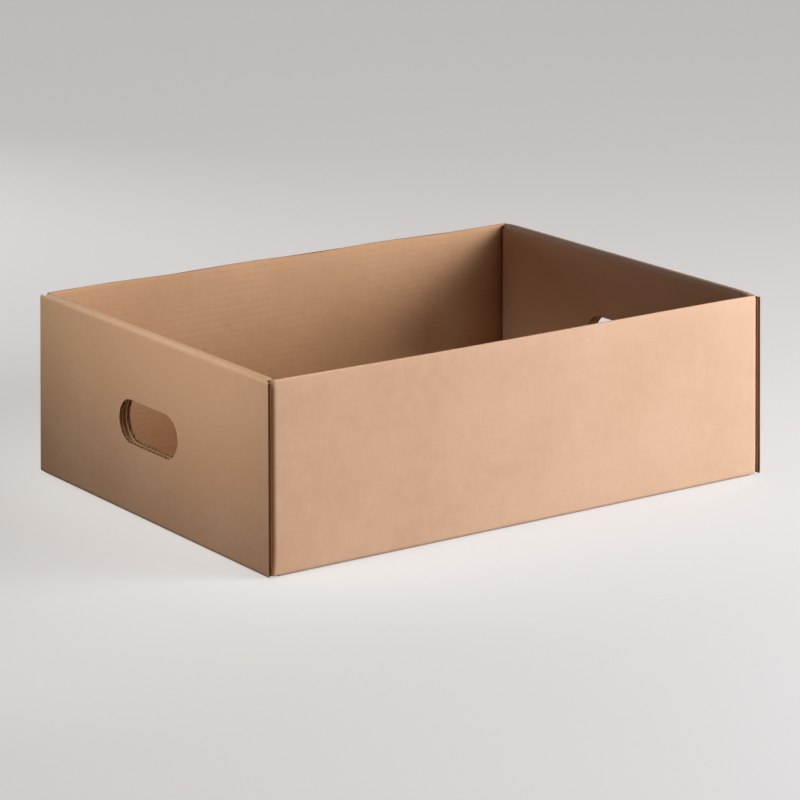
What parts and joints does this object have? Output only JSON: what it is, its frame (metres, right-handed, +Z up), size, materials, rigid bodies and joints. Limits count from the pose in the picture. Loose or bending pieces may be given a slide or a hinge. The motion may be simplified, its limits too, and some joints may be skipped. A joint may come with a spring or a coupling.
{
  "type": "cardboard tray box",
  "caption": "Open-top corrugated tray folded from flat board, with rolled-over end walls and hand holes at its ends.",
  "frame": {"origin": "middle of the underside, on the surface that the tray stands on", "axes": "+X along the length between the hand holes, +Y along the width, +Z up through the open top"},
  "size_m": [0.5, 0.36, 0.158],
  "materials": {
    "kraft_board": "matt uncoated kraft"
  },
  "bodies": {
    "root": {"tray": "kraft_board"}
  },
  "joints": []
}
